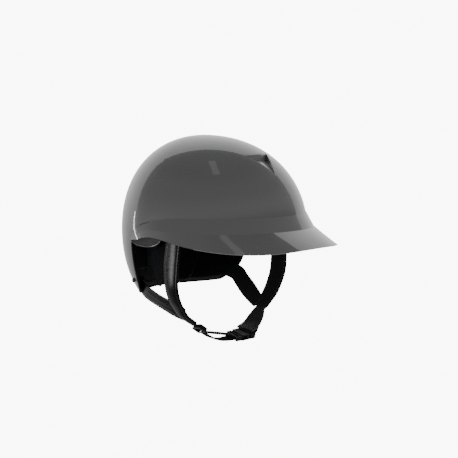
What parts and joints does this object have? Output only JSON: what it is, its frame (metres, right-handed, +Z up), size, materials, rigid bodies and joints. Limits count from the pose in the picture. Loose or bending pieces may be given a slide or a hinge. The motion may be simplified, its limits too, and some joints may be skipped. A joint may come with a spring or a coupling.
{
  "type": "equestrian riding helmet",
  "caption": "Round glossy riding helmet with a wide peak, recessed front vent, padded liner and a leather four-point chin harness with a side-release buckle.",
  "frame": {"origin": "on the middle plane, under the crown, at the widest level of the shell, which is about the middle of the head cavity", "axes": "+Z up through the crown, -Y towards the peak, -X towards the wearer's right"},
  "size_m": [0.2226, 0.3125, 0.2654],
  "materials": {
    "shell_gloss": "dark grey, high gloss lacquer",
    "edge_trim": "black satin edge binding",
    "foam": "black covered moulded foam",
    "padding": "black to dark navy padded knit",
    "strap_leather": "smooth black synthetic leather outside, black suede inside, stitched edges",
    "hardware": "black coated steel",
    "webbing": "black woven polyester webbing",
    "buckle_plastic": "black moulded plastic"
  },
  "bodies": {
    "helmet": {"outer_shell": "shell_gloss", "peak_and_skirt": "shell_gloss", "front_vent_insert": "shell_gloss", "rear_edge_trim": "edge_trim", "foam_liner": "foam", "brow_pad": "padding", "side_pad_right": "padding", "side_pad_left": "padding", "nape_pad": "padding", "crown_pad": "padding", "front_anchor_right": "hardware", "front_anchor_left": "hardware", "rear_anchor_right": "hardware", "rear_anchor_left": "hardware", "rear_strap_right": "strap_leather", "rear_strap_left": "strap_leather"},
    "chin_harness": {"front_strap_right": "strap_leather", "front_strap_left": "strap_leather", "chin_webbing": "webbing", "chin_webbing_return": "webbing", "socket_webbing": "webbing", "buckle_socket": "buckle_plastic", "buckle_pad": "strap_leather"},
    "slider": {"webbing_slider": "buckle_plastic"},
    "tongue": {"buckle_tongue": "buckle_plastic"},
    "prong_front": {"buckle_prong_front": "buckle_plastic"},
    "prong_rear": {"buckle_prong_rear": "buckle_plastic"}
  },
  "joints": [
    {"name": "chin_harness_swing", "type": "hinge", "parent": "helmet", "child": "chin_harness", "pos_m": [0, -0.038, 0.008], "axis": [1, 0, 0], "range_deg": [-5, 18], "deforming": ["rear_strap_right", "rear_strap_left"]},
    {"name": "buckle_release", "type": "slide", "parent": "chin_harness", "child": "tongue", "axis": [-1, 0, 0], "range_m": [0, 0.02], "deforming": ["chin_webbing", "chin_webbing_return"]},
    {"name": "prong_front_squeeze", "type": "hinge", "parent": "tongue", "child": "prong_front", "pos_m": [0.0008, -0.06376, -0.13681], "axis": [0, -0.2588, 0.9659], "range_deg": [0, 8], "stiffness_Nm_per_rad": 0.05},
    {"name": "prong_rear_squeeze", "type": "hinge", "parent": "tongue", "child": "prong_rear", "pos_m": [0.0008, -0.05024, -0.13319], "axis": [0, -0.2588, 0.9659], "range_deg": [-8, 0], "stiffness_Nm_per_rad": 0.05},
    {"name": "slider_shift", "type": "slide", "parent": "chin_harness", "child": "slider", "axis": [0.7114, -0.3432, -0.6133], "range_m": [0, 0.006]}
  ]
}
